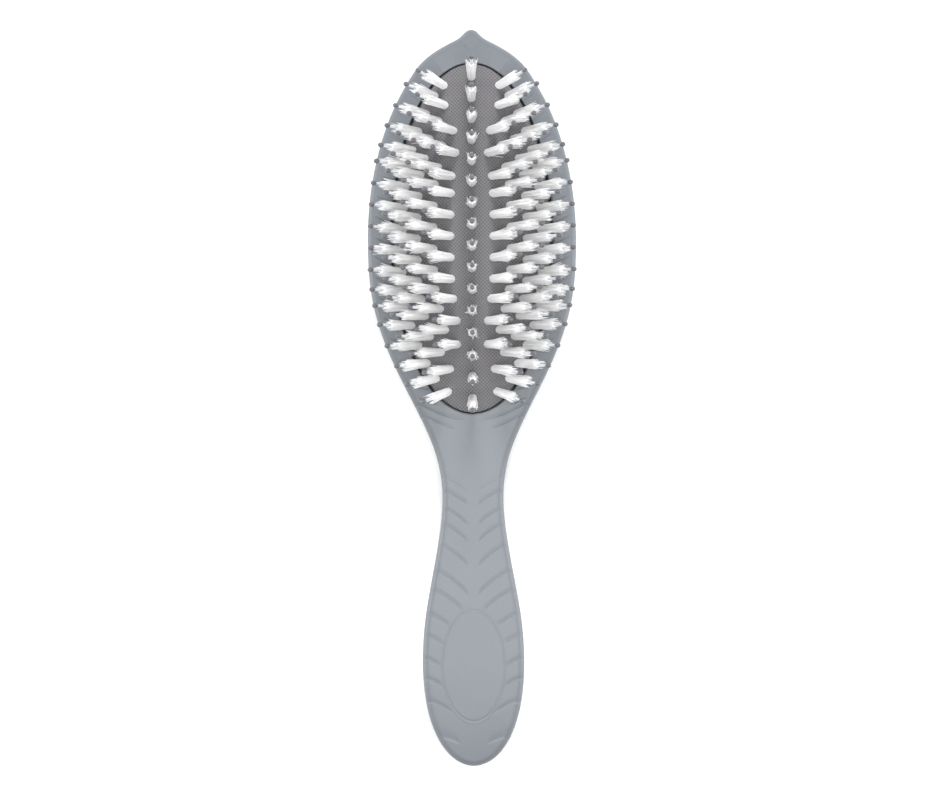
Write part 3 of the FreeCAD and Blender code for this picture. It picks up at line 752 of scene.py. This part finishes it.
def tube_faces(count, rings, sides):
    """Faces of many closed tubes: quads between rings, and a polygon over each end."""
    start = np.arange(count)[:, None, None, None] * rings * sides
    ring = np.arange(rings - 1)[:, None, None] * sides
    side = np.arange(sides)[:, None]
    turn = np.stack([side, (side + 1) % sides, (side + 1) % sides + sides, side + sides], axis=2)
    quads = (start + ring + turn.reshape(1, 1, sides, 4)).reshape(-1, 4)
    first = np.arange(count)[:, None] * rings * sides
    foot = first + np.arange(sides)[::-1]
    head = first + (rings - 1) * sides + np.arange(sides)
    return quads.tolist() + foot.tolist() + head.tolist()


def tube_points(line, radius, sides, turn):
    """Rings of points about lines that run nearly along Z: a circle of the given radius at each point."""
    angle = turn[..., None, None] + np.linspace(0, 2 * np.pi, sides, endpoint=False)
    ring = np.stack([np.cos(angle), np.sin(angle), np.zeros_like(angle)], axis=-1)
    return line[..., None, :] + radius[..., None, None] * ring


def filament_lines(tufts, look, chance):
    """Centre lines of the filaments of some tufts, each in its tuft's own frame.

    Roots lie on a sunflower spiral. A filament runs straight up, then spreads out with a smooth step of its
    height; its tip is drawn towards one of the clumps, and clumps and filaments end at uneven heights.
    """
    count = look.filaments
    order = np.arange(count)
    turn = order * math.pi * (3 - math.sqrt(5)) + chance.uniform(0, 2 * np.pi, (tufts, 1))
    out = np.broadcast_to(np.sqrt((order + 0.5) / count), turn.shape)
    flat = np.stack([np.cos(turn), np.sin(turn)], axis=2) * out[:, :, None]

    half = RING_CLUMPS / 2
    sector = np.floor(turn / (np.pi / half)) % RING_CLUMPS
    clump = np.where(out < MIDDLE_SHARE, RING_CLUMPS, sector).astype(int)
    middle = np.append(np.arange(RING_CLUMPS) * np.pi / half + np.pi / RING_CLUMPS, 0.0)
    middle = middle + chance.normal(0, CLUMP_TURN, (tufts, CLUMPS))
    far = np.array([RING_FAR] * RING_CLUMPS + [MIDDLE_FAR]) * chance.uniform(*CLUMP_FAR, (tufts, CLUMPS))
    centre = np.stack([np.cos(middle), np.sin(middle)], axis=2) * far[:, :, None]
    target = np.take_along_axis(centre, clump[:, :, None], axis=1)
    pull = np.take_along_axis(chance.uniform(*CLUMP_PULL, (tufts, CLUMPS)), clump, axis=1)[:, :, None]
    tip = flat + (target - flat) * pull + chance.normal(0, TIP_SCATTER, flat.shape)
    stray = chance.random((tufts, count, 1)) > STRAY_ABOVE
    tip = np.where(stray, tip * STRAY_SPREAD, tip)

    uneven = np.take_along_axis(chance.normal(0, CLUMP_UNEVEN, (tufts, CLUMPS)), clump, axis=1)
    reach = TUFT_REACH - END_LOWER - RIM_LOWER * out ** 3 + uneven
    reach = np.clip(reach + chance.normal(0, FILAMENT_UNEVEN, (tufts, count)), REACH_LEAST, REACH_MOST)
    height = -ROOT_DEPTH + (reach[:, :, None] + ROOT_DEPTH) * np.array(FILAMENT_RINGS)
    spread = ease(SPREAD_START, SPREAD_END, height)[..., None] * SPREAD_GAIN
    root = flat[:, :, None, :] * look.root_width / MM / 2
    top = tip[:, :, None, :] * look.tip_width / MM / 2
    return np.concatenate([root + (top - root) * spread, height[..., None]], axis=3)


def tuft_points(feet, ways, look, seed):
    """Points, faces and tones of one row's tufts: filaments round a tapered core that closes the bundle."""
    chance = np.random.default_rng(seed)
    tufts = len(feet)
    lines = filament_lines(tufts, look, chance)
    count, rings = lines.shape[1:3]
    taper = look.filament_width / MM / 2 * np.array(FILAMENT_TAPER)
    turn = chance.uniform(0, 2 * np.pi, (tufts, count))
    rods = tube_points(lines, np.broadcast_to(taper, lines.shape[:3]), FILAMENT_SIDES, turn)
    tone = np.broadcast_to(chance.random((tufts, count, 1, 1)), rods.shape[:-1])

    core_rings = len(CORE_HEIGHTS)
    core_half = np.array(CORE_HALVES) * look.root_width / MM / 2
    axis = np.zeros((tufts, 1, core_rings, 3))
    axis[..., 2] = CORE_HEIGHTS
    cores = tube_points(axis, np.broadcast_to(core_half, axis.shape[:3]), CORE_SIDES, np.zeros((tufts, 1)))

    basis = axes_of(ways)
    placed = [np.einsum("tij,t...j->t...i", basis, local) + feet.reshape(tufts, 1, 1, 1, 3)
              for local in (rods, cores)]
    points = np.vstack([group.reshape(-1, 3) for group in placed])
    shift = tufts * count * rings * FILAMENT_SIDES
    core_faces = [[corner + shift for corner in face] for face in tube_faces(tufts, core_rings, CORE_SIDES)]
    faces = tube_faces(tufts * count, rings, FILAMENT_SIDES) + core_faces
    tones = np.concatenate([tone.ravel(), np.full(tufts * core_rings * CORE_SIDES, CORE_TONE)])
    return points, faces, tones


class BRUSH_OT_tufts(bpy.types.Operator):
    """Make the bristle tufts of every row as bundles of filaments"""
    bl_idname = "brush.tufts"
    bl_label = "Bristle Tufts"

    def execute(self, context):
        look = context.scene.brush_bristles
        material = nylon_filament(look)
        for row, (feet, ways) in enumerate(tuft_stands(), start=1):
            points, faces, tones = tuft_points(feet, ways, look, FIRST_SEED + row)
            tufts = make_piece("bristle_row_%02d" % row, points, faces, material, TUBE_ANGLE, weld=False)
            tone = tufts.data.attributes.new("tone", "FLOAT", "POINT")
            tone.data.foreach_set("value", tones.astype(np.float32))
            settle(tufts, "row_%02d" % row, "bristle_nylon", "tuft_row_%02d" % row)
        return {"FINISHED"}


class BRUSH_OT_pins(bpy.types.Operator):
    """Give the pins of every row their half clear nylon"""
    bl_idname = "brush.pins"
    bl_label = "Pins"

    def execute(self, context):
        material = clear_nylon()
        for row in range(1, len(ARMS) + 1):
            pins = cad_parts["pin_row_%02d" % row]
            for slot in pins.material_slots:
                slot.material = material
        return {"FINISHED"}


def bead_points(feet, ways):
    """Teardrop beads: a turned profile, narrow at the stem and round at the end, put on each pin's end."""
    height = PIN_REACH - BEAD_LONG * np.array(BEAD_RINGS)
    half = BEAD_HALF * np.array(BEAD_HALVES)
    count = len(feet)
    axis = np.zeros((count, len(height), 3))
    axis[..., 2] = height
    local = tube_points(axis, np.broadcast_to(half, axis.shape[:2]), BEAD_SIDES, np.zeros(count))
    placed = np.einsum("tij,t...j->t...i", axes_of(ways), local) + feet.reshape(count, 1, 1, 3)
    return placed.reshape(-1, 3), tube_faces(count, len(height), BEAD_SIDES)


class BRUSH_OT_beads(bpy.types.Operator):
    """Make the beads on the ends of the pins"""
    bl_idname = "brush.beads"
    bl_label = "Beads"

    def execute(self, context):
        material = dipped_coating(context.scene.brush_bristles)
        for row, (feet, ways) in enumerate(tuft_stands(), start=1):
            points, faces = bead_points(feet, ways)
            beads = make_piece("bead_drops_%02d" % row, points, faces, material, TUBE_ANGLE, weld=False)
            settle(beads, "row_%02d" % row, "bead_coating", "bead_row_%02d" % row)
        return {"FINISHED"}


def soft_light(name, place, aim, size, power):
    """A square area light that looks at a point and isn't seen by the camera."""
    lamp = bpy.data.lights.new(name, "AREA")
    lamp.size = size
    lamp.energy = power
    item = bpy.data.objects.new(name, lamp)
    item.location = place
    item.visible_camera = False
    item.rotation_euler = (Vector(aim) - Vector(place)).to_track_quat("-Z", "Y").to_euler()
    bpy.context.scene.collection.objects.link(item)
    return item


class BRUSH_OT_stage(bpy.types.Operator):
    """Set the pale floor, the soft light and the camera above the brush"""
    bl_idname = "brush.stage"
    bl_label = "Stage"

    def execute(self, context):
        scene = context.scene
        look = scene.brush_stage
        across = np.linspace(-FLOOR_HALF, FLOOR_HALF, 5)
        x, y = np.meshgrid(across, across, indexing="ij")
        points, quads = join_grids([np.stack([x, y, np.full_like(x, FLOOR_LEVEL)], axis=2)])
        make_piece("floor", points, quads, painted_floor(look))

        world = bpy.data.worlds.new("studio")
        world.use_nodes = True
        sky = world.node_tree.nodes["Background"].inputs
        sky["Color"].default_value = (1.0, 1.0, 1.0, 1.0)
        sky["Strength"].default_value = SKY
        scene.world = world
        key = soft_light("key_light", KEY_PLACE, LIGHT_AIM, KEY_SIZE, look.key_power)
        key.visible_glossy = False
        soft_light("front_light", FRONT_PLACE, FRONT_AIM, FRONT_SIZE, look.front_power)
        for name, side in (("left_light", -1), ("right_light", 1)):
            place = (SIDE_DISTANCE * side, SIDE_ALONG, SIDE_HEIGHT)
            soft_light(name, place, LIGHT_AIM, SIDE_SIZE, look.side_power)

        lens = bpy.data.cameras.new("camera")
        lens.sensor_width = SENSOR_WIDTH
        lens.lens = SENSOR_WIDTH * look.camera_height / look.field_width
        lens.clip_end = CLIP_END
        camera = bpy.data.objects.new("camera", lens)
        camera.location = (CAMERA_ACROSS, CAMERA_ALONG, HEAD_FRONT + look.camera_height)
        camera.rotation_euler = (0.0, 0.0, math.radians(CAMERA_TURN))
        scene.collection.objects.link(camera)
        scene.camera = camera
        scene.view_settings.view_transform = "Standard"
        return {"FINISHED"}


PIECES = (BRUSH_OT_body, BRUSH_OT_cushion, BRUSH_OT_tufts, BRUSH_OT_pins, BRUSH_OT_beads, BRUSH_OT_stage)
LOOKS = (("brush_body", BodyLook), ("brush_cushion", CushionLook), ("brush_bristles", BristleLook),
         ("brush_stage", StageLook))


class VIEW3D_PT_brush(bpy.types.Panel):
    """Sidebar panel with the brush's looks and its pieces"""
    bl_label = "Leaf Brush"
    bl_idname = "VIEW3D_PT_brush"
    bl_space_type = "VIEW_3D"
    bl_region_type = "UI"
    bl_category = "Brush"

    def draw(self, context):
        for name, kind in LOOKS:
            box = self.layout.box()
            for field in kind.__annotations__:
                box.prop(getattr(context.scene, name), field)
        for piece in PIECES:
            self.layout.operator(piece.bl_idname)


def register():
    """Register the looks, the pieces and the panel."""
    for name, kind in LOOKS:
        bpy.utils.register_class(kind)
        setattr(bpy.types.Scene, name, bpy.props.PointerProperty(type=kind))
    for kind in PIECES + (VIEW3D_PT_brush,):
        bpy.utils.register_class(kind)


def unregister():
    """Take the panel, the pieces and the looks out again."""
    for kind in reversed(PIECES + (VIEW3D_PT_brush,)):
        bpy.utils.unregister_class(kind)
    for name, kind in LOOKS:
        delattr(bpy.types.Scene, name)
        bpy.utils.unregister_class(kind)


def main():
    """Register the looks, then make every piece in order."""
    register()
    bpy.ops.brush.body()
    bpy.ops.brush.cushion()
    bpy.ops.brush.tufts()
    bpy.ops.brush.pins()
    bpy.ops.brush.beads()
    bpy.ops.brush.stage()


if __name__ == "__main__":
    main()
